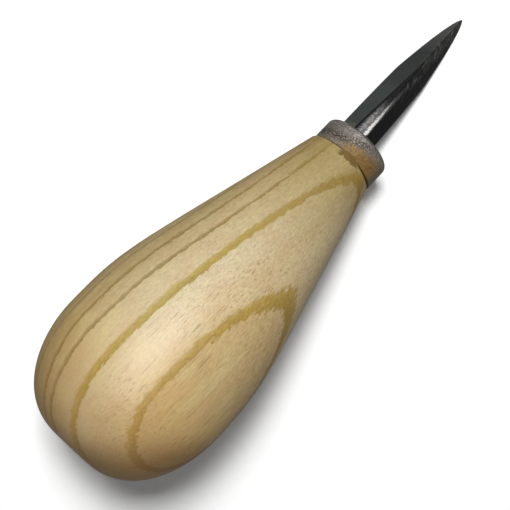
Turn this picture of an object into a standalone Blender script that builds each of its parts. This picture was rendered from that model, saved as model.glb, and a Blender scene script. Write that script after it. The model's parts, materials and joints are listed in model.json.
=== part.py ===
# Leather awl: a pear-shaped ash handle, a steel ferrule on its neck and a
# three-sided steel blade whose tang is driven into the handle.
# It lies on a level surface, resting on the side of the handle and on its point.

import math

import bmesh
import bpy
from mathutils import Vector
from mathutils.geometry import interpolate_bezier

# Sizes in metres, measured along the tool's own axis from the butt
FIT_GAP = 0.0003  # between each two pieces that seat on each other

HANDLE_LENGTH = 0.0802  # butt to the shoulder behind the ferrule
BUTT_FLAT_RADIUS = 0.0040
BELLY_RADIUS = 0.0200
BELLY_PLACE = 0.0209  # from the butt to the widest point
NECK_STEP = 0.00025  # the wood stands this proud of the ferrule
SHOULDER_ROUND = 0.0004

FERRULE_LENGTH = 0.0055
FERRULE_WALL = 0.0012
FERRULE_ROUND = 0.0010  # on the front outer edge
FERRULE_CHAMFER = 0.0002  # on the rear outer edge
TENON_RECESS = 0.0005  # the wood ends this far inside the ferrule
MOUTH_ROOM = 0.00125  # between the blade and the ferrule at their nearest

BLADE_REACH = 0.0370  # ferrule front to the tip
ROD_RADIUS = 0.0042  # round stock that the blade is ground from
GRIND_DEPTH = 0.00084  # of each flat at the ferrule
BLADE_OFFSET = 0.0011  # the blade enters this far to one side of the neck's centre
TANG_LENGTH = 0.0300
TANG_SHOULDER = 0.0012  # from the rod's side in to the tang's corners
TANG_END_RADIUS = 0.0018  # to the corners

# Shape ratios and angles: how full each curve of the turned outline is
BUTT_FULLNESS = 0.722
BUTT_RISE = 0.417
BELLY_FULLNESS = 0.257
NECK_FULLNESS = 0.757
NECK_FLARE = 0.254  # slope of the wood where it meets the ferrule
POINT_POWER = 0.60  # how early the blade swells behind its tip
BLADE_LEAN = math.radians(1.2)  # sideways, away from the handle's axis

# Fineness of the faceted surfaces
TURNED_SIDES = 32
CURVE_POINTS = 12
ROUND_POINTS = 5
BLADE_STATIONS = 14
LAND_STEPS = 6
CREASE = math.radians(32)

# Fits that follow from the sizes above
BORE_RADIUS = ROD_RADIUS + BLADE_OFFSET + MOUTH_ROOM
FERRULE_RADIUS = BORE_RADIUS + FERRULE_WALL
TENON_RADIUS = BORE_RADIUS - FIT_GAP
NECK_RADIUS = FERRULE_RADIUS + NECK_STEP
FERRULE_REAR = HANDLE_LENGTH + FIT_GAP
FERRULE_FRONT = FERRULE_REAR + FERRULE_LENGTH
TENON_END = FERRULE_FRONT - TENON_RECESS
SEAT_DEPTH = TENON_RECESS - FIT_GAP  # the blade's shoulder inside the ferrule
FLAT_RADIUS = ROD_RADIUS - GRIND_DEPTH


def clear_scene():
    for obj in list(bpy.data.objects):
        bpy.data.objects.remove(obj)


def empty_at(name, parent=None):
    obj = bpy.data.objects.new(name, None)
    bpy.context.scene.collection.objects.link(obj)
    obj.parent = parent
    return obj


def finish_material(name, colour, metallic, roughness):
    material = bpy.data.materials.new(name)
    material.use_nodes = True
    shader = material.node_tree.nodes["Principled BSDF"]
    shader.inputs["Base Color"].default_value = (*colour, 1.0)
    shader.inputs["Metallic"].default_value = metallic
    shader.inputs["Roughness"].default_value = roughness
    return material


def add_solid(name, bm, parent, material=None):
    bmesh.ops.remove_doubles(bm, verts=bm.verts, dist=1e-6)
    bmesh.ops.recalc_face_normals(bm, faces=bm.faces)
    mesh = bpy.data.meshes.new(name)
    bm.to_mesh(mesh)
    bm.free()
    mesh.shade_smooth()
    mesh.set_sharp_from_angle(angle=CREASE)
    obj = bpy.data.objects.new(name, mesh)
    bpy.context.scene.collection.objects.link(obj)
    obj.parent = parent
    if material:
        mesh.materials.append(material)
    return obj


def turned(outline, closed=False):
    # Spins an outline of (radius, height) pairs round the Z axis
    bm = bmesh.new()
    verts = [bm.verts.new((radius, 0, height)) for radius, height in outline]
    edges = [bm.edges.new(pair) for pair in zip(verts, verts[1:])]
    if closed:
        edges.append(bm.edges.new((verts[-1], verts[0])))
    bmesh.ops.spin(
        bm,
        geom=verts + edges,
        axis=(0, 0, 1),
        cent=(0, 0, 0),
        angle=math.tau,
        steps=TURNED_SIDES,
        use_merge=True,
    )
    return bm


def curve(start, start_pull, end_pull, end):
    points = interpolate_bezier(start, start_pull, end_pull, end, CURVE_POINTS)
    return [(point.x, point.y) for point in points]


def handle_outline():
    # The turned sides, from the neck over the belly to the flat on the butt
    neck_span = HANDLE_LENGTH - BELLY_PLACE
    neck_pull = NECK_FULLNESS * neck_span
    neck = Vector((NECK_RADIUS, HANDLE_LENGTH - SHOULDER_ROUND))
    belly = Vector((BELLY_RADIUS, BELLY_PLACE))
    butt = Vector((BUTT_FLAT_RADIUS, 0))
    butt_pull = BUTT_FULLNESS * (BELLY_RADIUS - BUTT_FLAT_RADIUS)
    front = curve(
        neck,
        neck + neck_pull * Vector((NECK_FLARE, -1)),
        belly + Vector((0, BELLY_FULLNESS * neck_span)),
        belly,
    )
    back = curve(
        belly,
        belly - Vector((0, BUTT_RISE * BELLY_PLACE)),
        butt + Vector((butt_pull, 0)),
        butt,
    )
    return front + back[1:]


def add_handle(parent, material):
    shoulder = [
        (0, TENON_END),
        (TENON_RADIUS, TENON_END),
        (TENON_RADIUS, HANDLE_LENGTH),
        (NECK_RADIUS - SHOULDER_ROUND, HANDLE_LENGTH),
    ]
    handle = add_solid("handle", turned(shoulder + handle_outline() + [(0, 0)]), parent, material)
    handle.rotation_euler.z = math.pi / TURNED_SIDES  # turns one facet straight down
    return handle


def add_ferrule(parent, material):
    edge_turns = [math.pi / 2 * step / (ROUND_POINTS - 1) for step in range(ROUND_POINTS)]
    rounded = [
        (
            FERRULE_RADIUS - FERRULE_ROUND * (1 - math.sin(turn)),
            FERRULE_FRONT - FERRULE_ROUND * (1 - math.cos(turn)),
        )
        for turn in edge_turns
    ]
    rear = [
        (FERRULE_RADIUS, FERRULE_REAR + FERRULE_CHAMFER),
        (FERRULE_RADIUS - FERRULE_CHAMFER, FERRULE_REAR),
        (BORE_RADIUS, FERRULE_REAR),
    ]
    outline = [(BORE_RADIUS, FERRULE_FRONT)] + rounded + rear
    ferrule = add_solid("ferrule", turned(outline, closed=True), parent, material)
    ferrule.rotation_euler.z = math.pi / TURNED_SIDES
    return ferrule


def flat_radius(reach):
    # From the blade's axis to each ground flat, at this distance from the tip
    return FLAT_RADIUS * (reach / BLADE_REACH) ** POINT_POWER


def blade_section(reach):
    # Round stock with three flats: an arc of the stock, or one ridge, between each two
    flat = flat_radius(reach)
    half_land = math.pi / 3 - math.acos(min(1, flat / ROD_RADIUS))
    radius = ROD_RADIUS if half_land > 0 else 2 * flat
    points = []
    for ridge in (math.pi / 3, math.pi, 5 * math.pi / 3):
        for step in range(LAND_STEPS + 1):
            turn = ridge + max(0, half_land) * (2 * step / LAND_STEPS - 1)
            points.append((radius * math.cos(turn), radius * math.sin(turn)))
    return points


def pointed_rod():
    # Height 0 is the ferrule's front, and the tip is at the blade's reach
    bm = bmesh.new()
    tip = bm.verts.new((0, 0, BLADE_REACH))
    reaches = [BLADE_REACH * (step / BLADE_STATIONS) ** 1.5 for step in range(1, BLADE_STATIONS + 1)]
    places = [(reach, BLADE_REACH - reach) for reach in reaches] + [(BLADE_REACH, -SEAT_DEPTH)]
    rings = []
    for reach, height in places:
        rings.append([bm.verts.new((x, y, height)) for x, y in blade_section(reach)])
    count = len(rings[0])
    for i in range(count):
        bm.faces.new((tip, rings[0][i], rings[0][(i + 1) % count]))
    for upper, lower in zip(rings, rings[1:]):
        for i in range(count):
            j = (i + 1) % count
            bm.faces.new((upper[i], lower[i], lower[j], upper[j]))
    bm.faces.new(rings[-1][::-1])
    return bm


def tang_spike(grow, above):
    # Square taper below the blade's shoulder, grown on all sides for the hole that takes it
    slope = (ROD_RADIUS - TANG_SHOULDER - TANG_END_RADIUS) / TANG_LENGTH
    corner_grow = grow * math.sqrt(2)
    bottom = -SEAT_DEPTH - TANG_LENGTH - grow
    top = -SEAT_DEPTH + above
    bm = bmesh.new()
    cone = bmesh.ops.create_cone(
        bm,
        cap_ends=True,
        segments=4,
        radius1=TANG_END_RADIUS - slope * grow + corner_grow,
        radius2=TANG_END_RADIUS + slope * (TANG_LENGTH + above) + corner_grow,
        depth=top - bottom,
    )
    bmesh.ops.translate(bm, verts=cone["verts"], vec=(0, 0, (top + bottom) / 2))
    return bm


def hide_tool(obj):
    obj.hide_render = True
    obj.display_type = "WIRE"


def boolean(obj, operation, other):
    modifier = obj.modifiers.new(operation.lower(), "BOOLEAN")
    modifier.operation = operation
    modifier.object = other
    hide_tool(other)


def resting_tilt():
    # Slope of the straight line under the tool that touches the handle and the blade
    down = math.cos(math.pi / TURNED_SIDES)  # a facet's middle lies inside its corners
    handle = [(height, radius * down) for radius, height in handle_outline()]
    tip_place = FERRULE_FRONT + BLADE_REACH
    reaches = [BLADE_REACH * (step / BLADE_STATIONS) ** 1.5 for step in range(BLADE_STATIONS + 1)]
    blade = [(tip_place - reach, flat_radius(reach)) for reach in reaches]
    touch = blade[0]
    for _ in range(4):
        heel = max(handle, key=lambda p: (p[1] - touch[1]) / (touch[0] - p[0]))
        touch = min(blade, key=lambda p: (heel[1] - p[1]) / (p[0] - heel[0]))
    return math.atan2(heel[1] - touch[1], touch[0] - heel[0])


def set_down(awl):
    # Lowest point on the ground, middle of the object's box over the origin
    bpy.context.view_layer.update()
    graph = bpy.context.evaluated_depsgraph_get()
    corners = []
    for obj in awl.children_recursive:
        if obj.type == "MESH" and not obj.hide_render:
            solid = obj.evaluated_get(graph)
            corners += [solid.matrix_world @ vert.co for vert in solid.data.vertices]
    low = Vector([min(corner[axis] for corner in corners) for axis in range(3)])
    high = Vector([max(corner[axis] for corner in corners) for axis in range(3)])
    awl.location = (-(low.x + high.x) / 2, -(low.y + high.y) / 2, -low.z)


def main():
    clear_scene()
    ash = finish_material("oiled_ash", (0.66, 0.49, 0.27), 0.0, 0.42)
    dull_steel = finish_material("dull_steel", (0.24, 0.22, 0.20), 1.0, 0.55)
    dark_steel = finish_material("dark_ground_steel", (0.09, 0.10, 0.10), 1.0, 0.38)

    awl = empty_at("awl")
    awl.rotation_euler.y = math.pi / 2 + resting_tilt()  # the tool's axis points along +X and down
    blade_seat = empty_at("blade_seat", awl)
    blade_seat.location = (0, BLADE_OFFSET, FERRULE_FRONT)
    blade_seat.rotation_euler.x = -BLADE_LEAN

    handle = add_handle(awl, ash)
    add_ferrule(awl, dull_steel)
    blade = add_solid("blade", pointed_rod(), blade_seat, dark_steel)
    boolean(blade, "UNION", add_solid("tang", tang_spike(0, SEAT_DEPTH), blade_seat))
    hole = tang_spike(FIT_GAP, TENON_RECESS)
    boolean(handle, "DIFFERENCE", add_solid("tang_hole", hole, blade_seat))
    set_down(awl)


main()
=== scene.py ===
# Leather awl: looks of its turned ash handle, its steel ferrule and its ground blade
import json
import math

import bmesh
import bpy
from mathutils import Euler, Matrix, Vector
from mathutils.geometry import interpolate_bezier


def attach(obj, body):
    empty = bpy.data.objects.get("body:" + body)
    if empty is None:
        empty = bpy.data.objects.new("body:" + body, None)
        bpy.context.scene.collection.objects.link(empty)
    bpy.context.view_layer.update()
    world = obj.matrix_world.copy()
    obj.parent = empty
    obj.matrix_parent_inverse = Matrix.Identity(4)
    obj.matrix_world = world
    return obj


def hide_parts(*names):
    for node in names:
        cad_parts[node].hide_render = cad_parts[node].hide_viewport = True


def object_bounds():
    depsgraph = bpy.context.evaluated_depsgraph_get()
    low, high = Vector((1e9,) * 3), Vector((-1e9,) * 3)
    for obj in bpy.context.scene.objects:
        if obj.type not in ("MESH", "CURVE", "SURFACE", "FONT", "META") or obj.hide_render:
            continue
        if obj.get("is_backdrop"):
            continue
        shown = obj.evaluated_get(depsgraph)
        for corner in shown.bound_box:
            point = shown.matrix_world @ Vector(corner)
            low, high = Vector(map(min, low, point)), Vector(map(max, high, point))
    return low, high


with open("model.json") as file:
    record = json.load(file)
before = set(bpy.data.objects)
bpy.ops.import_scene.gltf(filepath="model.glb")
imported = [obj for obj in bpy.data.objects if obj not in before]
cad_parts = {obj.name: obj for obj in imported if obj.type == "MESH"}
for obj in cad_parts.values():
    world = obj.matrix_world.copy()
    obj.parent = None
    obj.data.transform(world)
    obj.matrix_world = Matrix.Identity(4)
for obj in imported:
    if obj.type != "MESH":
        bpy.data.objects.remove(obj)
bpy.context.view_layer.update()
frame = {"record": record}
mm = 0.001  # every length below is in millimetres
smoothAngle = 28  # degrees; steeper edges are shaded sharp

# Pieces are made standing up, butt at the origin, and then laid down by the butt's own face
buttFace = next(mount for mount in frame["record"]["mounts"] if mount["name"] == "butt_face")
toolAxis = -Vector(buttFace["axis"])  # from the butt to the point
toolTurn = Euler((0, math.atan2(toolAxis.x, toolAxis.z), 0))
toolFrame = Matrix.Translation(buttFace["pos_m"]) @ toolTurn.to_matrix().to_4x4()
print("frame loaded, tool leans", round(math.degrees(toolTurn.y) - 90, 2), "degrees")


def hexColour(code):
    channels = [int(code[i:i + 2], 16) / 255 for i in (0, 2, 4)]
    linear = [c / 12.92 if c <= 0.04045 else ((c + 0.055) / 1.055) ** 2.4 for c in channels]
    return (*linear, 1.0)


def grey(level):
    return (level, level, level, 1.0)


# settings that many nodes share, and the numbered sockets of a Map Range node
smooth = {"interpolation_type": "SMOOTHSTEP"}
rgba = {"data_type": "RGBA"}
rangeSockets = {"from": (1, 2), "to": (3, 4)}


def shown(sockets):
    return [socket for socket in sockets if socket.enabled]


def setInputs(tree, node, inputs):
    # the node's own settings, and values or links for its sockets, by name or by number as shown
    for key, value in inputs.items():
        if key == "stops":  # of a colour ramp: place and colour, in order
            elements = node.color_ramp.elements
            for i, (place, colour) in enumerate([value[0], value[-1]] + value[1:-1]):
                stop = elements[i] if i < 2 else elements.new(place)
                stop.position = place
                stop.color = colour
        elif key in rangeSockets:
            setInputs(tree, node, dict(zip(rangeSockets[key], value)))
        elif isinstance(key, str) and hasattr(node, key):
            setattr(node, key, value)
        else:
            socket = node.inputs[key] if isinstance(key, str) else shown(node.inputs)[key]
            if isinstance(value, bpy.types.NodeSocket):
                tree.links.new(value, socket)
            else:
                socket.default_value = value


def addNode(tree, kind, inputs=None, output=0):
    node = tree.nodes.new("ShaderNode" + kind)
    setInputs(tree, node, inputs or {})
    if output is None:  # all of them
        return node.outputs
    return node.outputs[output] if isinstance(output, str) else shown(node.outputs)[output]


def newMaterial(name):
    material = bpy.data.materials.new(name)
    material.use_nodes = True
    tree = material.node_tree
    return material, tree, tree.nodes["Principled BSDF"]


def deselectAll():
    if bpy.context.mode != "OBJECT":
        bpy.ops.object.mode_set(mode="OBJECT")
    bpy.ops.object.select_all(action="DESELECT")


def turnOnLathe(name, outline, sides):
    # a disc drawn along the outline, ring by ring; left in edit mode with the last disc selected
    deselectAll()
    radius, height = outline[0]
    bpy.ops.mesh.primitive_circle_add(
        vertices=sides, radius=radius * mm, fill_type="NGON", location=(0, 0, height * mm)
    )
    piece = bpy.context.object
    piece.name = piece.data.name = name
    bpy.ops.object.transform_apply(location=True)
    bpy.ops.object.mode_set(mode="EDIT")
    bpy.ops.mesh.select_all(action="SELECT")
    for nextRadius, nextHeight in outline[1:]:
        drawRing(nextRadius / radius, nextHeight - height)
        radius, height = nextRadius, nextHeight
    return piece


def drawRing(grow, rise):
    bpy.ops.mesh.extrude_region_move(TRANSFORM_OT_translate={"value": (0, 0, rise * mm)})
    bpy.ops.transform.resize(value=(grow, grow, 1), center_override=(0, 0, 0))


def layDown(piece, place, materials, node):
    # place and shading into the mesh, then onto the frame
    deselectAll()
    piece.select_set(True)
    bpy.context.view_layer.objects.active = piece
    bpy.ops.object.mode_set(mode="EDIT")
    bpy.ops.mesh.select_all(action="SELECT")
    bpy.ops.mesh.normals_make_consistent(inside=False)
    bpy.ops.object.mode_set(mode="OBJECT")
    bpy.ops.object.shade_smooth_by_angle(angle=math.radians(smoothAngle))
    piece.matrix_world = place
    bpy.ops.object.transform_apply(location=True, rotation=True, scale=True)
    for material in materials:
        piece.data.materials.append(material)
    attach(piece, "root")
    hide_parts(node)
    print("made", piece.name, "with", len(piece.data.polygons), "faces")


ferrule = {
    "rear": 80.5,
    "front": 86.25,
    "outside": 7.75,
    "bore": 6.55,
    "frontRound": 1.0,
    "rearChamfer": 0.2,
    "drift": 0.25,  # to the right of the neck's centre
    "sides": 128,
    "roundSteps": 8,
}

blade = {
    "root": 86.0,  # where it comes out of the ferrule
    "reach": 37.0,  # from there to the tip
    "rodRadius": 4.2,
    "flatRadius": 3.36,  # from the blade's axis to each flat at the ferrule
    "pointPower": 0.60,  # how the flats close in towards the tip
    "edgeRound": 0.05,
    "offset": 1.1,  # to the left of the neck's centre
    "lean": 1.2,  # degrees to the left
    "seatDepth": 0.2,  # how far the shoulder on the tang lies inside the ferrule
    "tangLength": 30.0,
    "tangTop": 3.0,  # to the corners
    "tangEnd": 1.8,
    "stations": 44,
    "stationPower": 1.5,  # they are closer together towards the tip
    "tipClear": 0.01,
    "cornerSpread": 20.0,  # degrees to each side, where no round stock is left
    "cornerSteps": 4,
    "landSteps": 7,
    "flatSteps": 9,
}
bladeSeat = (
    Matrix.Translation((0, blade["offset"] * mm, blade["root"] * mm))
    @ Matrix.Rotation(-math.radians(blade["lean"]), 4, "X")
)

handle = {
    "length": 80.45,  # butt to the shoulder, which all but touches the ferrule
    "buttFlat": 4.0,
    "belly": 20.0,
    "bellyPlace": 20.9,
    "neck": 8.0,
    "shoulderRound": 0.3,
    "tenon": 6.25,
    "tenonEnd": 85.5,
    "undercut": 0.4,  # of the shoulder, out of sight
    "gap": 0.6,  # how far the shoulder stands off the ferrule on the right
    "gapSpread": 8.5,
    "glueLip": 0.5,  # how far glue runs over the ferrule's edge in the middle
    "glueRise": 0.25,
    "glueSpread": 3.4,
    "gluePlace": -0.8,
    "glueDepth": 0.2,  # how far down the shoulder's round it may start
    # how far the outline's curves are pulled, as shares of their spans
    "buttFullness": 0.722,
    "buttRise": 0.417,
    "bellyFullness": 0.257,
    "neckFullness": 0.757,
    "neckFlare": 0.254,
    "fitGap": 0.3,  # round the tang
    "cutterRise": 1.0,  # how far the hole's cutter stands out of the wood
    "sides": 128,
    "curvePoints": 40,
    "roundPoints": 5,
}


def handleOutline():
    # butt, belly, neck and the round of the shoulder
    span = handle["length"] - handle["bellyPlace"]
    pull = handle["neckFullness"] * span
    butt = Vector((handle["buttFlat"], 0))
    belly = Vector((handle["belly"], handle["bellyPlace"]))
    neck = Vector((handle["neck"], handle["length"] - handle["shoulderRound"]))
    buttPull = Vector((handle["buttFullness"] * (handle["belly"] - handle["buttFlat"]), 0))
    buttRise = Vector((0, handle["buttRise"] * handle["bellyPlace"]))
    bellyRise = Vector((0, handle["bellyFullness"] * span))
    flare = pull * Vector((handle["neckFlare"], -1))
    points = handle["curvePoints"]
    back = interpolate_bezier(butt, butt + buttPull, belly - buttRise, belly, points)
    front = interpolate_bezier(belly, belly + bellyRise, neck + flare, neck, points)
    shoulder = []
    for step in range(1, handle["roundPoints"]):
        turn = math.pi / 2 * step / (handle["roundPoints"] - 1)
        inward = handle["shoulderRound"] * (1 - math.cos(turn))
        shoulder.append(neck + Vector((-inward, handle["shoulderRound"] * math.sin(turn))))
    return [tuple(point)[:2] for point in back + front[1:] + shoulder]


def pullShoulder(vert, move, spread, falloff):
    bpy.ops.mesh.select_all(action="DESELECT")
    vert.select = True
    bpy.ops.transform.translate(
        value=Vector(move) * mm,
        use_proportional_edit=True,
        proportional_edit_falloff=falloff,
        proportional_size=spread * mm,
    )
    bpy.ops.mesh.select_all(action="DESELECT")


def makeHandle(material):
    outline = handleOutline()
    piece = turnOnLathe("turned_handle", outline, handle["sides"])
    shoulder = outline[-1][0]
    # the shoulder wasn't squared off on the right, so it is drawn back from the ferrule there
    mesh = bmesh.from_edit_mesh(piece.data)
    lastDisc = [vert for vert in mesh.verts if vert.select]
    rightmost = min(lastDisc, key=lambda vert: vert.co.y)
    pullShoulder(rightmost, (0, 0, -handle["gap"]), handle["gapSpread"], "ROOT")
    # glue squeezed out in the middle, over the ferrule's edge; the last disc stays behind
    mesh = bmesh.from_edit_mesh(piece.data)
    endFace = max(mesh.faces, key=lambda face: face.calc_center_median().z)
    endFace.select_set(True)
    bpy.ops.mesh.hide()
    lowest = (handle["length"] - handle["glueDepth"]) * mm
    rounded = [vert for vert in mesh.verts if vert.co.z > lowest and not vert.hide]
    middle = Vector((-handle["neck"], handle["gluePlace"], handle["length"])) * mm
    nearest = min(rounded, key=lambda vert: (vert.co - middle).length)
    pullShoulder(nearest, (-handle["glueRise"], 0, handle["glueLip"]), handle["glueSpread"], "SMOOTH")
    bpy.ops.mesh.reveal(select=False)
    mesh = bmesh.from_edit_mesh(piece.data)
    max(mesh.faces, key=lambda face: len(face.verts) * face.calc_center_median().z).select_set(True)
    # shoulder, undercut, and the tenon that the ferrule sits on
    drawRing(handle["tenon"] / shoulder, 0)
    floorHeight = (handle["length"] - handle["undercut"]) * mm
    bpy.ops.transform.resize(value=(1, 1, 0), center_override=(0, 0, floorHeight))
    drawRing(1, handle["tenonEnd"] - handle["length"] + handle["undercut"])
    bpy.ops.object.mode_set(mode="OBJECT")
    # square tapered hole for the tang
    room = handle["fitGap"] * math.sqrt(2)
    top = handle["tenonEnd"] - blade["root"] + handle["cutterRise"]
    bottom = -blade["seatDepth"] - blade["tangLength"] - handle["fitGap"]
    slope = (blade["tangTop"] - blade["tangEnd"]) / blade["tangLength"]
    deselectAll()
    bpy.ops.mesh.primitive_cone_add(
        vertices=4,
        radius1=(blade["tangEnd"] + room) * mm,
        radius2=(blade["tangEnd"] + room + slope * (top - bottom)) * mm,
        depth=(top - bottom) * mm,
    )
    cutter = bpy.context.object
    cutter.matrix_world = bladeSeat @ Matrix.Translation((0, 0, (top + bottom) / 2 * mm))
    hole = piece.modifiers.new("tangHole", "BOOLEAN")
    hole.operation = "DIFFERENCE"
    hole.object = cutter
    deselectAll()
    bpy.context.view_layer.objects.active = piece
    bpy.ops.object.modifier_apply(modifier="tangHole")
    bpy.data.objects.remove(cutter)
    layDown(piece, toolFrame, [material], "handle")


def makeFerrule(material):
    rear, front, outside = ferrule["rear"], ferrule["front"], ferrule["outside"]
    chamfer, frontRound = ferrule["rearChamfer"], ferrule["frontRound"]
    outline = [(ferrule["bore"], rear), (outside - chamfer, rear), (outside, rear + chamfer)]
    for step in range(ferrule["roundSteps"] + 1):
        turn = math.pi / 2 * step / ferrule["roundSteps"]
        inward = frontRound * (1 - math.cos(turn))
        outline.append((outside - inward, front - frontRound * (1 - math.sin(turn))))
    outline.append((ferrule["bore"], front))
    piece = turnOnLathe("steel_ferrule", outline, ferrule["sides"])
    # both end discs open into the bore
    mesh = bmesh.from_edit_mesh(piece.data)
    bpy.ops.mesh.select_all(action="DESELECT")
    for face in mesh.faces:
        face.select_set(len(face.verts) == ferrule["sides"])
    bpy.ops.mesh.delete(type="ONLY_FACE")
    bpy.ops.mesh.select_mode(type="EDGE")
    bpy.ops.mesh.select_all(action="DESELECT")
    bpy.ops.mesh.select_non_manifold()
    bpy.ops.mesh.bridge_edge_loops()
    bpy.ops.mesh.select_mode(type="VERT")
    place = toolFrame @ Matrix.Translation((0, -ferrule["drift"] * mm, 0))
    layDown(piece, place, [material], "ferrule")


def polar(radius, turn):
    return Vector((radius * math.cos(turn), radius * math.sin(turn)))


def bladeSection(reach):
    # round stock with three flats and slightly blunted corners, at this distance from the tip
    flat = blade["flatRadius"] * (reach / blade["reach"]) ** blade["pointPower"]
    edge = min(blade["edgeRound"], flat / 3)  # less at the very tip
    inner, rod = flat - edge, blade["rodRadius"] - edge
    land = math.pi / 3 - math.acos(min(1, inner / rod))  # half the arc that the grinding left
    centre = rod if land > 0 else 2 * inner
    spread = land if land > 0 else math.radians(blade["cornerSpread"])
    land = max(0, land)
    corner, middle = blade["cornerSteps"], blade["landSteps"]
    turns = [-math.pi / 3 + (math.pi / 3 - spread) * i / (corner - 1) for i in range(corner)]
    turns += [spread * (2 * (i + 1) / (middle + 1) - 1) for i in range(middle)]
    turns += [-turn for turn in turns[corner - 1::-1]]
    ridges = []
    for ridge in (math.pi / 3, math.pi, 5 * math.pi / 3):
        ridges.append([
            polar(centre, ridge + max(-land, min(land, turn))) + polar(edge, ridge + turn)
            for turn in turns
        ])
    points = []
    for here, following in zip(ridges, ridges[1:] + ridges[:1]):
        steps = blade["flatSteps"] + 1
        points += here + [here[-1].lerp(following[0], i / steps) for i in range(1, steps)]
    return points


def squareSection(corner):
    outline = bladeSection(blade["reach"])
    turns = [math.atan2(point.y, point.x) for point in outline]
    return [polar(corner / (abs(math.cos(turn)) + abs(math.sin(turn))), turn) for turn in turns]


def makeBlade(flatsMaterial, landMaterial):
    seat = -blade["seatDepth"]
    sections = [(squareSection(blade["tangTop"]), seat), (bladeSection(blade["reach"]), seat)]
    for step in range(blade["stations"], 0, -1):
        reach = blade["reach"] * (step / blade["stations"]) ** blade["stationPower"]
        sections.append((bladeSection(reach), blade["reach"] - reach))
    start = squareSection(blade["tangEnd"])
    deselectAll()
    bpy.ops.mesh.primitive_circle_add(vertices=len(start), radius=mm, fill_type="NGON")
    piece = bpy.context.object
    piece.name = piece.data.name = "ground_blade"
    bpy.ops.object.mode_set(mode="EDIT")
    mesh = bmesh.from_edit_mesh(piece.data)
    column = mesh.verts.layers.int.new("column")  # each ring drawn from this one copies it
    for i, vert in enumerate(mesh.verts):
        vert[column] = i
        vert.co = (*(start[i] * mm), (seat - blade["tangLength"]) * mm)
    bpy.ops.mesh.select_all(action="SELECT")
    for section, height in sections:
        bpy.ops.mesh.extrude_region_move()
        mesh = bmesh.from_edit_mesh(piece.data)
        column = mesh.verts.layers.int["column"]
        for vert in mesh.verts:
            if vert.select:
                vert.co = (*(section[vert[column]] * mm), height * mm)
    bpy.ops.mesh.extrude_region_move()
    mesh = bmesh.from_edit_mesh(piece.data)
    for vert in mesh.verts:
        if vert.select:
            vert.co = (0, 0, blade["reach"] * mm)
    bpy.ops.mesh.merge(type="CENTER")
    markBlade(piece)
    layDown(piece, toolFrame @ bladeSeat, [flatsMaterial, landMaterial], "blade")


def markBlade(piece):
    # for the materials: how far each point lies across its land, or from its flat's two edges
    mesh = bmesh.from_edit_mesh(piece.data)
    column = mesh.verts.layers.int["column"]
    across = mesh.verts.layers.float.new("acrossLand")
    upper = mesh.verts.layers.float.new("fromRidge")
    lower = mesh.verts.layers.float.new("fromEdge")
    firstLand = blade["cornerSteps"] - 1
    lastLand = firstLand + blade["landSteps"] + 1
    middle = (firstLand + lastLand) / 2
    lastCorner = 2 * blade["cornerSteps"] + blade["landSteps"] - 1
    perRidge = lastCorner + 1 + blade["flatSteps"]
    for vert in mesh.verts:
        ridge, place = divmod(vert[column], perRidge)
        vert[across] = max(-1, min(1, (place - middle) / (lastLand - middle)))
        reach = blade["reach"] - vert.co.z / mm
        if reach <= blade["tipClear"] or place <= lastCorner:
            continue
        section = bladeSection(min(reach, blade["reach"]))
        begin = (section[ridge * perRidge + lastCorner] - section[vert[column]]).length
        end = (section[(ridge + 1) * perRidge % len(section)] - section[vert[column]]).length
        nearer = min(begin, end)
        # on the left flat, the right one and the one underneath
        vert[upper], vert[lower] = [(end, begin), (begin, end), (nearer, nearer)][ridge]
    for face in mesh.faces:
        places = [vert[column] % perRidge for vert in face.verts]
        onLand = all(firstLand <= place <= lastLand for place in places)
        face.material_index = 1 if onLand else 0
    bmesh.update_edit_mesh(piece.data)


def toolSpace(tree, place):
    # the piece's own upright space in millimetres, so a pattern's scale is how many of it go in one
    return addNode(tree, "Mapping", {
        "vector_type": "TEXTURE",
        "Vector": addNode(tree, "TexCoord", output="Object"),
        "Location": place.to_translation(),
        "Rotation": place.to_euler(),
        "Scale": (mm, mm, mm),
    })


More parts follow.
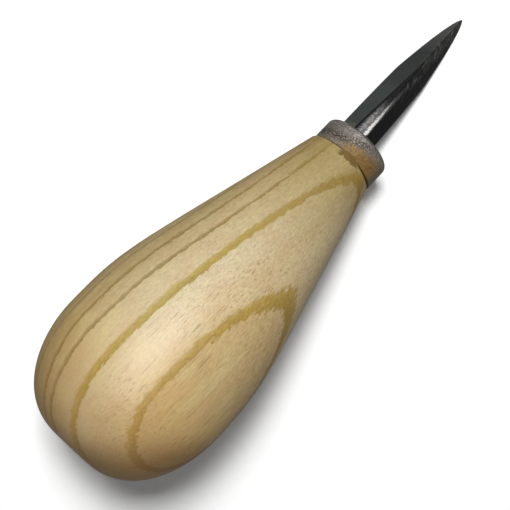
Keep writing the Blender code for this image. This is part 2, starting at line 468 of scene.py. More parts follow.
ash = {
    # pale wood by place across the grain, from the lower left to the upper right
    "tones": [(-20.0, "b08f58"), (-3.0, "bfa66f"), (3.0, "c4ae80"), (9.0, "cebb94"), (10.0, "d0c09b"),
              (16.0, "d4bb8e"), (17.5, "c7aa75")],
    "warm": "cbab7e",
    "cream": "d3c28e",
    "band": "af963e",
    "bandRight": "b4943f",
    "bandDark": "8b7027",
    "faint": "856b1b",
    "pore": "82764f",
    "line": "957544",
    "neck": "957f42",
    "stain": "81642c",
    "glue": "62480c",
    # end grain towards the butt, darkened also as painted shade
    "endGrainAndShade": "977443",
    "honey": "fff8e8",
    # painted shade low on the butt's right
    "lowRightShade": "cdc1a6",
    # painted shade inside the crack at the ferrule
    "crackShade": "2c1a0a",
    "grainLean": 132,  # degrees that the sheets of growth are turned round the tool, on the whole
    # each ring: its own turn, its place at mid-handle, how it runs along the handle, how wide and how dark
    # it is; some waver, narrow towards the ferrule, or bend on the underside to run beside their neighbours
    "rings": [
        {"lean": 135.7, "place": 16.33, "slope": 0.038, "bow": 0.00165, "width": 1.35, "depth": 1.0},
        {"lean": 132.4, "place": 8.75, "slope": -0.001, "bow": 0.0006, "width": 1.9, "depth": 1.0,
         "wave": 0.6, "narrows": 0.8},
        {"lean": 122.0, "place": -6.2, "slope": -0.01, "bow": 0.0013, "width": 1.5, "depth": 0.9,
         "bend": {"lean": 131.0, "place": -8.0, "slope": 0.0, "bow": 0.0013}},
        {"lean": 128.0, "place": -16.4, "slope": -0.01, "bow": 0.0012, "width": 1.6, "depth": 0.9},
    ],
    "faintRings": [
        {"lean": 129.8, "place": 4.25, "slope": -0.0078, "bow": 0.00128, "width": 1.25, "depth": 1.0,
         "narrows": 0.6},
        {"lean": 114.2, "place": 4.8, "slope": 0.028, "bow": 0.00145, "width": 1.25, "depth": 0.9,
         "narrows": 0.6, "bend": {"lean": 131.0, "place": 1.2, "slope": 0.0, "bow": 0.0013}},
        {"lean": 118.0, "place": -0.7, "slope": 0.0, "bow": 0.0014, "width": 1.1, "depth": 0.7,
         "bend": {"lean": 131.0, "place": -3.2, "slope": 0.0, "bow": 0.0013}},
        {"lean": 125.0, "place": -11.7, "slope": -0.01, "bow": 0.0012, "width": 1.2, "depth": 0.8,
         "bend": {"lean": 131.0, "place": -12.6, "slope": 0.0, "bow": 0.0012}},
    ],
    "bendRound": 2.0,  # how gently a bend starts
    # how dark a ring is across its width: it fades in, and stops short at a dark line
    "ringProfile": [(0.0, 0.0), (0.12, 0.05), (0.34, 0.56), (0.62, 0.66), (0.88, 1.0), (1.0, 0.0)],
    "ragged": 0.85,  # how far the rings' edges stray
    "middle": 40.0,  # where along the handle the rings' places are given
    "waveStart": 45.0,
    "waveLength": 68.0,
}


def growthSheet(tree, sheet, torn, square):
    # how far the wood lies from this nearly flat sheet of growth
    turn = math.radians(sheet["lean"])
    normal = (-math.sin(turn), math.cos(turn), sheet["slope"])
    place = sheet["place"] + sheet["slope"] * ash["middle"]
    away = addNode(tree, "VectorMath", {"operation": "DOT_PRODUCT", 0: torn, 1: normal})
    away = addNode(tree, "Math", {"operation": "MULTIPLY_ADD", 0: square, 1: sheet["bow"], 2: away})
    return addNode(tree, "Math", {"operation": "SUBTRACT", 0: away, 1: place})


def growthRings(tree, rings, z, torn, square, wave):
    # how dark the wood is where it lies in one of these rings
    bands = 0.0
    for ring in rings:
        sheet = growthSheet(tree, ring, torn, square)
        if "bend" in ring:
            bend = growthSheet(tree, ring["bend"], torn, square)
            sheet = addNode(tree, "Math", {"operation": "SMOOTH_MAX", 0: sheet, 1: bend,
                                           2: ash["bendRound"]})
        if "wave" in ring:
            sheet = addNode(tree, "Math", {"operation": "MULTIPLY_ADD", 0: wave, 1: ring["wave"],
                                           2: sheet})
        half = ring["width"] / 2
        begin = addNode(tree, "MapRange", {0: z, "from": (ash["middle"], handle["length"]),
                                           "to": (-half, ring.get("narrows", 0.0) - half)})
        inside = addNode(tree, "MapRange", {0: sheet, "from": (begin, half)})
        stops = [(place, grey(dark * ring["depth"])) for place, dark in ash["ringProfile"]]
        band = addNode(tree, "ValToRGB", {0: inside, "stops": stops})
        bands = addNode(tree, "Math", {"operation": "MAXIMUM", 0: bands, 1: band})
    return bands


def oiledAsh():
    # turned ash, sanded and oiled: pale and satin, ochre rings with ragged edges, short open pores
    material, tree, shader = newMaterial("oiled turned ash")
    point = toolSpace(tree, toolFrame)
    x, y, z = addNode(tree, "SeparateXYZ", {0: point}, output=None)
    fibres = addNode(tree, "Mapping", {"Vector": point, "Scale": (1, 1, 0.07)})
    grains = addNode(tree, "Mapping", {"Vector": point, "Scale": (1, 1, 0.4)})
    streak = addNode(tree, "TexNoise", {"Vector": fibres, "Scale": 2.4, "Detail": 5.0, "Roughness": 0.6})
    grit = addNode(tree, "TexNoise", {"Vector": grains, "Scale": 2.4, "Detail": 3.0, "Roughness": 0.75})
    patch = addNode(tree, "TexNoise", {"Vector": grains, "Scale": 0.34, "Detail": 2.0})

    # growth rings are nearly flat sheets through the wood, so the turned shape draws loops and lines
    lean = math.radians(ash["grainLean"])
    sideways = Vector((-math.sin(lean), math.cos(lean), 0))
    ticks = addNode(tree, "Mapping", {"Vector": point, "Scale": (1, 1, 0.3)})
    stray = addNode(tree, "TexNoise", {"Vector": ticks, "Scale": 1.4, "Detail": 4.0, "Roughness": 0.7})
    stray = addNode(tree, "MapRange", {0: stray, "to": (-ash["ragged"], ash["ragged"])})
    stray = addNode(tree, "VectorMath", {"operation": "SCALE", 0: sideways, "Scale": stray})
    torn = addNode(tree, "VectorMath", {"operation": "ADD", 0: point, 1: stray})
    across = addNode(tree, "VectorMath", {"operation": "DOT_PRODUCT", 0: torn, 1: sideways})
    square = addNode(tree, "Math", {"operation": "SUBTRACT", 0: z, 1: ash["middle"]})
    square = addNode(tree, "Math", {"operation": "POWER", 0: square, 1: 2.0})
    waveEnd = ash["waveStart"] + ash["waveLength"]
    wave = addNode(tree, "MapRange", {"clamp": False, 0: z, "from": (ash["waveStart"], waveEnd),
                                      "to": (0.0, math.tau)})
    wave = addNode(tree, "Math", {"operation": "SINE", 0: wave})
    bands = growthRings(tree, ash["rings"], z, torn, square, wave)
    faint = growthRings(tree, ash["faintRings"], z, torn, square, wave)

    # pale wood between them, in warm and creamy patches
    first, last = ash["tones"][0][0], ash["tones"][-1][0]
    zone = addNode(tree, "MapRange", {0: across, "from": (first, last)})
    stops = [((place - first) / (last - first), hexColour(tone)) for place, tone in ash["tones"]]
    colour = addNode(tree, "ValToRGB", {0: zone, "stops": stops})
    warm = addNode(tree, "MapRange", {0: patch, "from": (0.5, 0.66), "to": (0.0, 0.45)})
    colour = addNode(tree, "Mix", {**rgba, 0: warm, 1: colour, 2: hexColour(ash["warm"])})
    cream = addNode(tree, "MapRange", {0: patch, "from": (0.5, 0.34), "to": (0.0, 0.45)})
    colour = addNode(tree, "Mix", {**rgba, 0: cream, 1: colour, 2: hexColour(ash["cream"])})

    # oil gathered towards the ferrule, most on top, and brown stains there on both flanks
    outward = addNode(tree, "Math", {"operation": "ABSOLUTE", 0: y})
    onTop = addNode(tree, "MapRange", {0: outward, "from": (5.0, 9.0), "to": (1.0, 0.3)})
    oil = addNode(tree, "MapRange", {**smooth, 0: z, "from": (39.0, 82.0), "to": (0.0, 0.82)})
    oil = addNode(tree, "Math", {"operation": "MULTIPLY", 0: oil, 1: onTop})
    colour = addNode(tree, "Mix", {**rgba, 0: oil, 1: colour, 2: hexColour(ash["neck"])})
    stain = addNode(tree, "TexNoise", {"Vector": grains, "Scale": 0.6, "Detail": 3.0})
    stain = addNode(tree, "MapRange", {0: stain, "from": (0.38, 0.64), "to": (0.0, 0.5)})
    flank = addNode(tree, "MapRange", {**smooth, 0: outward, "from": (2.5, 7.5), "to": (0.1, 1.0)})
    near = addNode(tree, "MapRange", {**smooth, 0: z, "from": (64.0, 80.0)})
    stain = addNode(tree, "Math", {"operation": "MULTIPLY", 0: stain, 1: flank})
    stain = addNode(tree, "Math", {"operation": "MULTIPLY", 0: stain, 1: near})
    colour = addNode(tree, "Mix", {**rgba, 0: stain, 1: colour, 2: hexColour(ash["stain"])})

    # rings: ochre, with darker flecks and a dark inner edge, and browner at the ferrule; darker on the
    # right flank as painted shade
    fleck = addNode(tree, "TexNoise", {"Vector": grains, "Scale": 1.6, "Detail": 5.0, "Roughness": 0.8})
    fleck = addNode(tree, "MapRange", {0: fleck, "from": (0.46, 0.64), "to": (0.0, 0.65)})
    edge = addNode(tree, "MapRange", {0: bands, "from": (0.68, 1.0), "to": (0.0, 0.6)})
    fleck = addNode(tree, "Math", {"operation": "MAXIMUM", 0: fleck, 1: edge})
    # painted shade: rings darker on the right flank, the side turned from the light
    brown = addNode(tree, "MapRange", {0: y, "from": (-8.0, -14.0), "to": (0.0, 0.5)})
    fleck = addNode(tree, "Math", {"operation": "MAXIMUM", 0: fleck, 1: brown})
    brown = addNode(tree, "MapRange", {0: z, "from": (42.0, 72.0), "to": (0.0, 0.95)})
    fleck = addNode(tree, "Math", {"operation": "MAXIMUM", 0: fleck, 1: brown})
    right = addNode(tree, "MapRange", {0: across, "from": (11.5, 13.5)})
    band = addNode(tree, "Mix", {**rgba, 0: right, 1: hexColour(ash["band"]),
                                 2: hexColour(ash["bandRight"])})
    band = addNode(tree, "Mix", {**rgba, 0: fleck, 1: band, 2: hexColour(ash["bandDark"])})
    tint = addNode(tree, "MapRange", {0: bands, "from": (0.0, 0.66)})
    colour = addNode(tree, "Mix", {**rgba, 0: tint, 1: colour, 2: band})
    faint = addNode(tree, "MapRange", {0: faint, "from": (0.0, 0.9), "to": (0.0, 0.9)})
    colour = addNode(tree, "Mix", {**rgba, 0: faint, 1: colour, 2: hexColour(ash["faint"])})

    # long fine lines of grain on the upper right, inside the loop that a ring draws
    lineSpace = addNode(tree, "Mapping", {"Vector": point, "Scale": (3.0, 3.0, 0.09)})
    line = addNode(tree, "TexNoise", {"Vector": lineSpace, "Scale": 1.0, "Detail": 2.0})
    line = addNode(tree, "MapRange", {0: line, "from": (0.59, 0.66), "to": (0.0, 0.5)})
    upper = addNode(tree, "MapRange", {**smooth, 0: across, "from": (9.5, 13.0)})
    line = addNode(tree, "Math", {"operation": "MULTIPLY", 0: line, 1: upper})
    colour = addNode(tree, "Mix", {**rgba, 0: line, 1: colour, 2: hexColour(ash["line"])})

    # pores 0.1 mm wide and about 0.4 mm long, scattered and in clusters
    poreSpace = addNode(tree, "Mapping", {"Vector": point, "Scale": (3.6, 3.6, 0.95)})
    pore, anyColour = addNode(tree, "TexVoronoi", {"Vector": poreSpace, "Scale": 1.0}, output=None)[:2]
    pore = addNode(tree, "MapRange", {0: pore, "from": (0.1, 0.24), "to": (1.0, 0.0)})
    kept = addNode(tree, "MapRange", {0: anyColour, "from": (0.5, 0.6)})
    pore = addNode(tree, "Math", {"operation": "MULTIPLY", 0: pore, 1: kept})
    cluster = addNode(tree, "TexNoise", {"Vector": point, "Scale": 0.25, "Detail": 2.0})
    cluster = addNode(tree, "MapRange", {0: cluster, "from": (0.48, 0.6), "to": (0.1, 1.0)})
    upTheHandle = addNode(tree, "MapRange", {**smooth, 0: z, "from": (18.0, 42.0), "to": (0.2, 1.0)})
    pore = addNode(tree, "Math", {"operation": "MULTIPLY", 0: pore, 1: cluster})
    pore = addNode(tree, "Math", {"operation": "MULTIPLY", 0: pore, 1: upTheHandle})
    colour = addNode(tree, "Mix", {**rgba, 0: pore, 1: colour, 2: hexColour(ash["pore"])})

    # glue squeezed out at the ferrule
    glue = addNode(tree, "TexNoise", {"Vector": point, "Scale": 0.9, "Detail": 4.0, "Roughness": 0.6})
    glue = addNode(tree, "Math", {"operation": "MULTIPLY_ADD", 0: glue, 1: 2.4, 2: z})
    glue = addNode(tree, "MapRange", {0: glue, "from": (80.2, 80.5), "to": (0.0, 0.9)})
    middle = addNode(tree, "Math", {"operation": "SUBTRACT", 0: y, 1: handle["gluePlace"]})
    middle = addNode(tree, "Math", {"operation": "ABSOLUTE", 0: middle})
    middle = addNode(tree, "MapRange", {**smooth, 0: middle, "from": (1.8, 3.2), "to": (1.0, 0.0)})
    glue = addNode(tree, "Math", {"operation": "MULTIPLY", 0: glue, 1: middle})
    colour = addNode(tree, "Mix", {**rgba, 0: glue, 1: colour, 2: hexColour(ash["glue"])})

    # darker towards the butt: end grain that drew in more oil, and painted shade where the butt turns from
    # the light; a honey tone towards it; and painted shade low on its right
    # painted shade with end grain: darker towards the butt
    end = addNode(tree, "MapRange", {**smooth, 0: z, "from": (0.0, 22.0), "to": (0.5, 0.0)})
    colour = addNode(tree, "Mix", {**rgba, 0: end, 1: colour, 2: hexColour(ash["endGrainAndShade"])})
    honey = addNode(tree, "MapRange", {**smooth, 0: z, "from": (34.0, 14.0)})
    colour = addNode(tree, "Mix", {**rgba, "blend_type": "MULTIPLY", 0: honey, 1: colour,
                                   2: hexColour(ash["honey"])})
    # painted shade low on the butt's right, the side turned from the light
    lowRightShade = addNode(tree, "Math", {"operation": "ADD", 0: z, 1: y})
    lowRightShade = addNode(tree, "MapRange", {**smooth, 0: lowRightShade, "from": (4.0, -6.0)})
    colour = addNode(tree, "Mix", {**rgba, "blend_type": "MULTIPLY", 0: lowRightShade, 1: colour,
                                   2: hexColour(ash["lowRightShade"])})

    # painted shade on the shoulder inside the crack at the ferrule, less where glue fills it
    radius = addNode(tree, "CombineXYZ", {0: x, 1: y})
    radius = addNode(tree, "VectorMath", {"operation": "LENGTH", 0: radius})
    crackShade = addNode(tree, "MapRange", {0: radius, "from": (7.6, 7.9), "to": (1.0, 0.0)})
    nearEnd = addNode(tree, "MapRange", {0: z, "from": (78.0, 78.5)})
    crackShade = addNode(tree, "Math", {"operation": "MULTIPLY", 0: crackShade, 1: nearEnd})
    bare = addNode(tree, "MapRange", {0: middle, "to": (1.0, 0.1)})
    crackShade = addNode(tree, "Math", {"operation": "MULTIPLY", 0: crackShade, 1: bare})
    colour = addNode(tree, "Mix", {**rgba, 0: crackShade, 1: colour, 2: hexColour(ash["crackShade"])})

    # fine grain over all of it, coarser away from the butt, with pores sunk in
    tone = addNode(tree, "MapRange", {0: streak, "from": (0.25, 0.75), "to": (0.93, 1.06)})
    colour = addNode(tree, "VectorMath", {"operation": "SCALE", 0: colour, "Scale": tone})
    coarse = addNode(tree, "MapRange", {0: z, "from": (8.0, 35.0), "to": (0.25, 0.9)})
    tone = addNode(tree, "Math", {"operation": "SUBTRACT", 0: grit, 1: 0.5})
    tone = addNode(tree, "Math", {"operation": "MULTIPLY_ADD", 0: tone, 1: coarse, 2: 1.0})
    colour = addNode(tree, "VectorMath", {"operation": "SCALE", 0: colour, "Scale": tone})
    relief = addNode(tree, "Math", {"operation": "ADD", 0: streak, 1: grit})
    relief = addNode(tree, "Math", {"operation": "MULTIPLY_ADD", 0: pore, 1: -0.6, 2: relief})
    rough = addNode(tree, "MapRange", {0: streak, "from": (0.3, 0.7), "to": (0.37, 0.45)})
    rough = addNode(tree, "Math", {"operation": "MULTIPLY_ADD", 0: glue, 1: 0.5, 2: rough})
    bump = addNode(tree, "Bump", {"Strength": 0.4, "Distance": 0.1 * mm, "Height": relief})
    setInputs(tree, shader, {"Base Color": colour, "Roughness": rough, "Normal": bump, "IOR": 1.47,
                             "Specular IOR Level": 0.75})
    return material


steelRing = {
    "grey": "726c63",
    "rim": "6b645f",
    "dark": "221d1a",
    "amber": "7c5f25",
    "rust": "624219",
    "bright": "c6c0bb",
    # how thick the dark specks are across their belt
    "beltProfile": [(0.0, 0.12), (0.4, 1.0), (0.6, 0.9), (1.0, 0.2)],
}


def dullSteel():
    # mild steel, filed and tarnished: grey with dark specks, a worn front edge, brown oil at the wood
    material, tree, shader = newMaterial("tarnished mild steel")
    point = toolSpace(tree, toolFrame)
    y, z = addNode(tree, "SeparateXYZ", {0: point}, output=None)[1:]
    mottle = addNode(tree, "TexNoise", {"Vector": point, "Scale": 1.1, "Detail": 4.0, "Roughness": 0.65})
    speck = addNode(tree, "TexNoise", {"Vector": point, "Scale": 3.6, "Detail": 3.0, "Roughness": 0.7})
    leftwards = addNode(tree, "MapRange", {**smooth, 0: y, "from": (-5.0, 0.0), "to": (0.3, 1.0)})

    # a front edge worn paler, with fine bright scores round it
    worn = addNode(tree, "Math", {"operation": "MULTIPLY_ADD", 0: mottle, 1: 1.2, 2: z})
    worn = addNode(tree, "MapRange", {**smooth, 0: worn, "from": (84.3, 85.3)})
    worn = addNode(tree, "Math", {"operation": "MULTIPLY", 0: worn, 1: leftwards})
    colour = addNode(tree, "Mix", {**rgba, 0: worn, 1: hexColour(steelRing["grey"]),
                                   2: hexColour(steelRing["rim"])})
    around = addNode(tree, "Mapping", {"Vector": point, "Scale": (0.5, 0.5, 6.0)})
    score = addNode(tree, "TexNoise", {"Vector": around, "Scale": 1.0, "Detail": 3.0, "Roughness": 0.6})
    score = addNode(tree, "MapRange", {0: score, "from": (0.54, 0.64), "to": (0.0, 0.5)})
    score = addNode(tree, "Math", {"operation": "MULTIPLY", 0: score, 1: worn})
    colour = addNode(tree, "Mix", {**rgba, 0: score, 1: colour, 2: hexColour(steelRing["bright"])})

    # brown film, on the right two thirds, with rusty streaks
    film = addNode(tree, "Math", {"operation": "MULTIPLY_ADD", 0: y, 1: 0.2, 2: z})
    film = addNode(tree, "Math", {"operation": "MULTIPLY_ADD", 0: mottle, 1: 3.0, 2: film})
    film = addNode(tree, "MapRange", {**smooth, 0: film, "from": (83.2, 85.7), "to": (0.95, 0.0)})
    side = addNode(tree, "MapRange", {**smooth, 0: y, "from": (0.5, 4.0), "to": (1.0, 0.05)})
    film = addNode(tree, "Math", {"operation": "MULTIPLY", 0: film, 1: side})
    rightEdge = addNode(tree, "MapRange", {0: y, "from": (-7.4, -5.6), "to": (0.3, 1.0)})
    film = addNode(tree, "Math", {"operation": "MULTIPLY", 0: film, 1: rightEdge})
    rusty = addNode(tree, "MapRange", {0: mottle, "from": (0.45, 0.62), "to": (0.0, 0.8)})
    brown = addNode(tree, "Mix", {**rgba, 0: rusty, 1: hexColour(steelRing["amber"]),
                                  2: hexColour(steelRing["rust"])})
    colour = addNode(tree, "Mix", {**rgba, 0: film, 1: colour, 2: brown})

    # dark specks, thickest in a belt that runs askew round the middle
    belt = addNode(tree, "Math", {"operation": "MINIMUM", 0: y, 1: 3.5})
    belt = addNode(tree, "Math", {"operation": "MULTIPLY_ADD", 0: belt, 1: 0.4, 2: z})
    belt = addNode(tree, "Math", {"operation": "MULTIPLY_ADD", 0: mottle, 1: 1.2, 2: belt})
    belt = addNode(tree, "MapRange", {0: belt, "from": (83.0, 85.8)})
    stops = [(place, grey(dark)) for place, dark in steelRing["beltProfile"]]
    belt = addNode(tree, "ValToRGB", {0: belt, "stops": stops})
    specked = addNode(tree, "MapRange", {0: speck, "from": (0.42, 0.54)})
    specked = addNode(tree, "Math", {"operation": "MULTIPLY", 0: specked, 1: belt})
    specked = addNode(tree, "Math", {"operation": "MULTIPLY", 0: specked, 1: leftwards})
    colour = addNode(tree, "Mix", {**rgba, 0: specked, 1: colour, 2: hexColour(steelRing["dark"])})

    # uneven all over, paler towards both flanks but for the right edge
    tone = addNode(tree, "MapRange", {0: speck, "from": (0.3, 0.7), "to": (1.45, 0.55)})
    flank = addNode(tree, "Math", {"operation": "ABSOLUTE", 0: y})
    flank = addNode(tree, "MapRange", {0: flank, "from": (4.0, 7.5), "to": (1.0, 1.35)})
    tone = addNode(tree, "Math", {"operation": "MULTIPLY", 0: tone, 1: flank})
    rightEdge = addNode(tree, "MapRange", {0: rightEdge, "from": (0.3, 1.0), "to": (0.7, 1.0)})
    tone = addNode(tree, "Math", {"operation": "MULTIPLY", 0: tone, 1: rightEdge})
    colour = addNode(tree, "VectorMath", {"operation": "SCALE", 0: colour, "Scale": tone})
    metal = addNode(tree, "MapRange", {0: film, "to": (0.75, 0.2)})
    rough = addNode(tree, "MapRange", {0: speck, "from": (0.3, 0.7), "to": (0.5, 0.65)})
    bump = addNode(tree, "Bump", {"Strength": 0.3, "Distance": 0.08 * mm, "Height": speck})
    setInputs(tree, shader, {"Base Color": colour, "Metallic": metal, "Roughness": rough,
                             "Normal": bump})
    return material


darkSteel = {
    # left flat by distance from the ferrule: a darker stretch behind the tip
    "leftTones": [(0.0, "616866"), (13.0, "666d6a"), (16.0, "585e5c"), (25.0, "525654"),
                  (31.0, "757472")],
    "oily": "a6a089",
    # painted highlight along the left flat's lower edge
    "edge": "8e9290",
    # right flat near black: its darker grinding, and painted shade on the side turned from the light
    "rightFlatAndShade": "111112",
    "rightTip": "403f3c",
    "scratch": "a0a59f",
    # black of the painted shade along the ridge, and of the lower edge at the tip
    "ridge": "060707",
    "land": "0d0d0e",
    # hatch grey: hatching, lightened as painted highlight
    "hatch": "626160",
    # painted highlight along the round stock
    "streak": "d0cdca",
    "highlightPlace": -0.95,  # a bright streak along the round stock, right of the middle
    "highlightHalf": 0.5,
    "burr": "b3aca0",
    "scratchTurn": -50,  # degrees, on the right flat
    "hatchTurn": -40,  # degrees, on the round stock
}


def paintedHighlight(tree, y, z, ragged):
    # painted highlight where the round stock and what borders it face the light, from the ferrule to
    # mid-blade
    place = addNode(tree, "MapRange", {0: ragged, "to": (-0.7, 0.7)})
    place = addNode(tree, "Math", {"operation": "ADD", 0: place, 1: y})
    place = addNode(tree, "Math", {"operation": "SUBTRACT", 0: place, 1: darkSteel["highlightPlace"]})
    place = addNode(tree, "Math", {"operation": "ABSOLUTE", 0: place})
    streak = addNode(tree, "MapRange", {**smooth, 0: place, "from": (0.05, darkSteel["highlightHalf"]),
                                        "to": (1.0, 0.0)})
    fade = addNode(tree, "MapRange", {0: z, "from": (3.0, 17.0), "to": (1.0, 0.0)})
    fade = addNode(tree, "Math", {"operation": "POWER", 0: fade, 1: 1.3})
    return addNode(tree, "Math", {"operation": "MULTIPLY", 0: streak, 1: fade})


def groundSteel():
    # carbon steel, ground on three sides and left dark: a smooth left flat, a cross scratched right one,
    # painted near black partly as shade
    material, tree, shader = newMaterial("dark ground carbon steel")
    point = toolSpace(tree, toolFrame @ bladeSeat)
    y, z = addNode(tree, "SeparateXYZ", {0: point}, output=None)[1:]
    ridge = addNode(tree, "Attribute", {"attribute_name": "fromRidge"}, "Fac")
    lower = addNode(tree, "Attribute", {"attribute_name": "fromEdge"}, "Fac")
    right = addNode(tree, "MapRange", {0: y, "from": (0.25, -0.25)})
    cloud = addNode(tree, "TexNoise", {"Vector": point, "Scale": 0.8, "Detail": 4.0, "Roughness": 0.6})
    last = darkSteel["leftTones"][-1][0]
    along = addNode(tree, "MapRange", {0: z, "from": (0.0, last)})
    stops = [(place / last, hexColour(tone)) for place, tone in darkSteel["leftTones"]]
    left = addNode(tree, "ValToRGB", {0: along, "stops": stops})
    # a rub of oil at the ferrule, and a painted highlight along the lower edge there, which turns dark
    # towards the tip
    oily = addNode(tree, "Math", {"operation": "MULTIPLY_ADD", 0: cloud, 1: 4.0, 2: z})
    oily = addNode(tree, "MapRange", {**smooth, 0: oily, "from": (2.4, 5.2), "to": (0.9, 0.0)})
    left = addNode(tree, "Mix", {**rgba, 0: oily, 1: left, 2: hexColour(darkSteel["oily"])})
    rim = addNode(tree, "MapRange", {0: z, "from": (26.0, 32.0)})
    edge = addNode(tree, "MapRange", {0: rim, "to": (0.6, 0.95)})
    edge = addNode(tree, "MapRange", {0: lower, "from": (0.05, 0.4), "to": (edge, 0.0)})
    rim = addNode(tree, "Mix", {**rgba, 0: rim, 1: hexColour(darkSteel["edge"]),
                                2: hexColour(darkSteel["ridge"])})
    left = addNode(tree, "Mix", {**rgba, 0: edge, 1: left, 2: rim})
    # scratches 0.2 mm wide and about 1.5 mm long across the right flat, more of them towards the tip
    onFlat = addNode(tree, "CombineXYZ", {0: ridge, 1: z})
    turn = math.radians(darkSteel["scratchTurn"])
    onFlat = addNode(tree, "Mapping", {"Vector": onFlat, "Rotation": (0, 0, turn)})
    onFlat = addNode(tree, "Mapping", {"Vector": onFlat, "Scale": (2.4, 0.36, 1)})
    scratch = addNode(tree, "TexNoise", {"Vector": onFlat, "Scale": 1.0, "Detail": 3.0,
                                         "Roughness": 0.65})
    scratched = addNode(tree, "MapRange", {0: scratch, "from": (0.54, 0.62)})
    burr = addNode(tree, "MapRange", {0: ridge, "from": (0.4, 1.3), "to": (0.8, 0.0)})
    nearTip = addNode(tree, "MapRange", {0: z, "from": (16.0, 24.0)})
    burr = addNode(tree, "Math", {"operation": "MULTIPLY", 0: burr, 1: nearTip})
    burr = addNode(tree, "Math", {"operation": "MULTIPLY", 0: burr, 1: scratched})
    left = addNode(tree, "Mix", {**rgba, 0: burr, 1: left, 2: hexColour(darkSteel["burr"])})
    towardsTip = addNode(tree, "MapRange", {0: z, "from": (10.0, 18.0), "to": (0.06, 1.0)})
    belowRidge = addNode(tree, "MapRange", {0: ridge, "from": (1.0, 4.0), "to": (1.0, 0.15)})
    scratched = addNode(tree, "Math", {"operation": "MULTIPLY", 0: scratched, 1: towardsTip})
    scratched = addNode(tree, "Math", {"operation": "MULTIPLY", 0: scratched, 1: belowRidge})
    paler = addNode(tree, "MapRange", {0: z, "from": (15.0, 26.0)})
    paler = addNode(tree, "Math", {"operation": "MULTIPLY", 0: paler, 1: belowRidge})
    dark = addNode(tree, "Mix", {**rgba, 0: paler, 1: hexColour(darkSteel["rightFlatAndShade"]),
                                 2: hexColour(darkSteel["rightTip"])})
    dark = addNode(tree, "Mix", {**rgba, 0: scratched, 1: dark, 2: hexColour(darkSteel["scratch"])})
    colour = addNode(tree, "Mix", {**rgba, 0: right, 1: left, 2: dark})
    # painted shade: black along the ridge, but for the painted highlight
    ridgeShade = addNode(tree, "MapRange", {0: z, "from": (18.0, 26.0), "to": (0.95, 0.5)})
    line = addNode(tree, "MapRange", {0: ridge, "from": (0.12, 0.4), "to": (1.0, 0.0)})
    line = addNode(tree, "Math", {"operation": "MULTIPLY", 0: line, 1: ridgeShade})
    colour = addNode(tree, "Mix", {**rgba, 0: line, 1: colour, 2: hexColour(darkSteel["ridge"])})
    # painted highlight along the round stock
    streak = paintedHighlight(tree, y, z, scratch)
    colour = addNode(tree, "Mix", {**rgba, 0: streak, 1: colour, 2: hexColour(darkSteel["streak"])})
    rough = addNode(tree, "MapRange", {0: cloud, "from": (0.3, 0.7), "to": (0.32, 0.42)})
    bump = addNode(tree, "Bump", {"Strength": 0.15, "Distance": 0.05 * mm, "Height": scratch})
    setInputs(tree, shader, {"Base Color": colour, "Metallic": 1.0, "Roughness": rough, "Normal": bump})
    return material


def rolledSteel():
    # what is left of the round stock between the flats: black scale, hatched near the ferrule, with painted
    # highlight that greys its right part there and a brighter painted highlight along it
    material, tree, shader = newMaterial("scaled round carbon steel")
    point = toolSpace(tree, toolFrame @ bladeSeat)
    y, z = addNode(tree, "SeparateXYZ", {0: point}, output=None)[1:]
    across = addNode(tree, "Attribute", {"attribute_name": "acrossLand"}, "Fac")
    turn = math.radians(darkSteel["hatchTurn"])
    turned = addNode(tree, "Mapping", {"Vector": point, "Rotation": (turn, 0, 0)})
    hatchSpace = addNode(tree, "Mapping", {"Vector": turned, "Scale": (2.0, 5.0, 1.0)})
    hatch = addNode(tree, "TexNoise", {"Vector": hatchSpace, "Scale": 1.2, "Detail": 3.0,
                                       "Roughness": 0.7})
    hatchAndHighlight = addNode(tree, "MapRange", {0: hatch, "from": (0.36, 0.62)})
    # painted highlight: the hatch greys the land's right part, fading up the blade
    inward = addNode(tree, "MapRange", {0: across, "from": (-0.95, -0.3)})
    fade = addNode(tree, "MapRange", {0: z, "from": (5.0, 10.5), "to": (1.0, 0.06)})
    hatchAndHighlight = addNode(tree, "Math", {"operation": "MULTIPLY", 0: hatchAndHighlight, 1: inward})
    hatchAndHighlight = addNode(tree, "Math", {"operation": "MULTIPLY", 0: hatchAndHighlight, 1: fade})
    colour = addNode(tree, "Mix", {**rgba, 0: hatchAndHighlight, 1: hexColour(darkSteel["land"]),
                                   2: hexColour(darkSteel["hatch"])})
    # painted highlight along the round stock
    streak = paintedHighlight(tree, y, z, hatch)
    colour = addNode(tree, "Mix", {**rgba, 0: streak, 1: colour, 2: hexColour(darkSteel["streak"])})
    setInputs(tree, shader, {"Base Color": colour, "Metallic": 1.0, "Roughness": 0.4})
    return material


makeHandle(oiledAsh())
makeFerrule(dullSteel())
makeBlade(groundSteel(), rolledSteel())

studio = {
    "cameraPlace": (-7.097, -0.379, 280.0),
    "cameraRoll": -46.694,  # degrees; the tool points to the upper right
    "lens": 91.21,
    "floor": 1500.0,
    "floorBounce": "606060",  # the paper as it lights the tool
    "floorGlow": 0.13,  # lifts the shadow
    "floorFar": (95.0, 260.0),  # where the paper turns to plain white
    "floorInGloss": 0.1,
    "ambient": 0.015,
    # key, softbox and fill light the tool, the paper lamp only the paper, where it draws the shadow
    "lamps": [
        {"name": "key", "from": (0.361, 0.183, 0.914), "distance": 800.0, "size": 350.0, "power": 3.34},
        {"name": "softbox", "from": (0.0, 0.0, 1.0), "distance": 1000.0, "size": 550.0, "power": 4.85},
        {"name": "fill", "from": (0.3, 1.0, 0.4), "distance": 800.0, "size": 400.0, "power": 0.78},
        {"name": "paper lamp", "from": (0.25, 0.28, 1.0), "distance": 800.0, "size": 250.0, "power": 6.6},
    ],
}


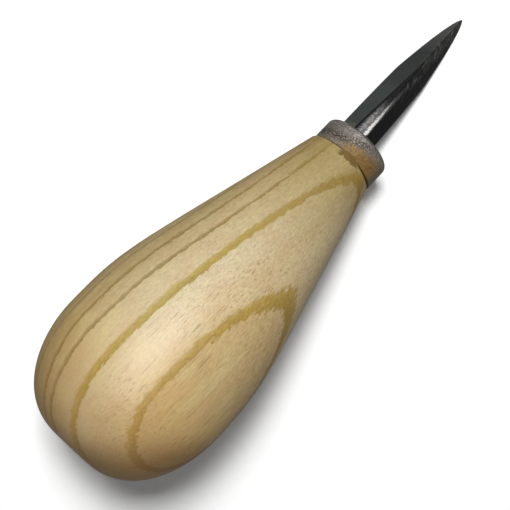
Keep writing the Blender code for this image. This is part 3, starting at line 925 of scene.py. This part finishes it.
def setCamera():
    data = bpy.data.cameras.new("photo camera")
    data.lens = studio["lens"]
    camera = bpy.data.objects.new("photo camera", data)
    bpy.context.scene.collection.objects.link(camera)
    camera.location = Vector(studio["cameraPlace"]) * mm
    camera.rotation_euler = (0, 0, math.radians(studio["cameraRoll"]))
    bpy.context.scene.camera = camera


def seenRays(tree, inGloss):
    # 1 where the camera or a clear material looks, inGloss in reflections, 0 for light bouncing about
    path = addNode(tree, "LightPath", output=None)
    gloss = addNode(tree, "Math", {"operation": "MULTIPLY", 0: path["Is Glossy Ray"], 1: inGloss})
    seen = addNode(tree, "Math", {"operation": "MAXIMUM", 0: path["Is Camera Ray"], 1: gloss})
    return addNode(tree, "Math", {"operation": "MAXIMUM", 0: seen, 1: path["Is Transmission Ray"]})


def setFloor():
    deselectAll()
    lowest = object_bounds()[0][2]
    bpy.ops.mesh.primitive_plane_add(size=studio["floor"] * mm, location=(0, 0, lowest))
    floor = bpy.context.object
    floor.name = "floor"
    material, tree, shader = newMaterial("white paper")
    tree.nodes.remove(shader)
    seen = seenRays(tree, studio["floorInGloss"])
    colour = addNode(tree, "Mix", {**rgba, 0: seen, 1: hexColour(studio["floorBounce"]), 2: grey(1.0)})
    paper = addNode(tree, "BsdfDiffuse", {"Color": colour})
    away = addNode(tree, "TexCoord", output="Object")
    away = addNode(tree, "VectorMath", {"operation": "LENGTH", 0: away})
    near, far = [distance * mm for distance in studio["floorFar"]]
    glow = addNode(tree, "MapRange", {0: away, "from": (near, far), "to": (studio["floorGlow"], 1.0)})
    glow = addNode(tree, "Emission", {"Strength": glow})
    bright = addNode(tree, "AddShader", {0: paper, 1: glow})
    surface = addNode(tree, "MixShader", {0: seen, 1: paper, 2: bright})
    setInputs(tree, tree.nodes["Material Output"], {"Surface": surface})
    floor.data.materials.append(material)
    floor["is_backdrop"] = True
    return floor


def setLight(floor):
    world = bpy.data.worlds.new("studio")
    bpy.context.scene.world = world
    world.use_nodes = True
    tree = world.node_tree
    strength = addNode(tree, "MapRange", {0: seenRays(tree, 1.0), "to": (studio["ambient"], 1.0)})
    setInputs(tree, tree.nodes["Background"], {"Color": grey(1.0), "Strength": strength})
    paper = bpy.data.collections.new("paper")
    paper.objects.link(floor)
    allButPaper = bpy.data.collections.new("all but paper")
    allButPaper.objects.link(floor)
    allButPaper.collection_objects[0].light_linking.link_state = "EXCLUDE"
    for lamp in studio["lamps"]:
        data = bpy.data.lights.new(lamp["name"], "AREA")
        data.size = lamp["size"] * mm
        data.energy = lamp["power"]
        light = bpy.data.objects.new(lamp["name"], data)
        bpy.context.scene.collection.objects.link(light)
        direction = Vector(lamp["from"]).normalized()
        light.location = direction * lamp["distance"] * mm
        light.rotation_euler = direction.to_track_quat("Z", "Y").to_euler()
        light.light_linking.receiver_collection = paper if lamp["name"] == "paper lamp" else allButPaper


setCamera()
setLight(setFloor())
bpy.context.scene.view_settings.view_transform = "Standard"
print("camera, floor and light set")
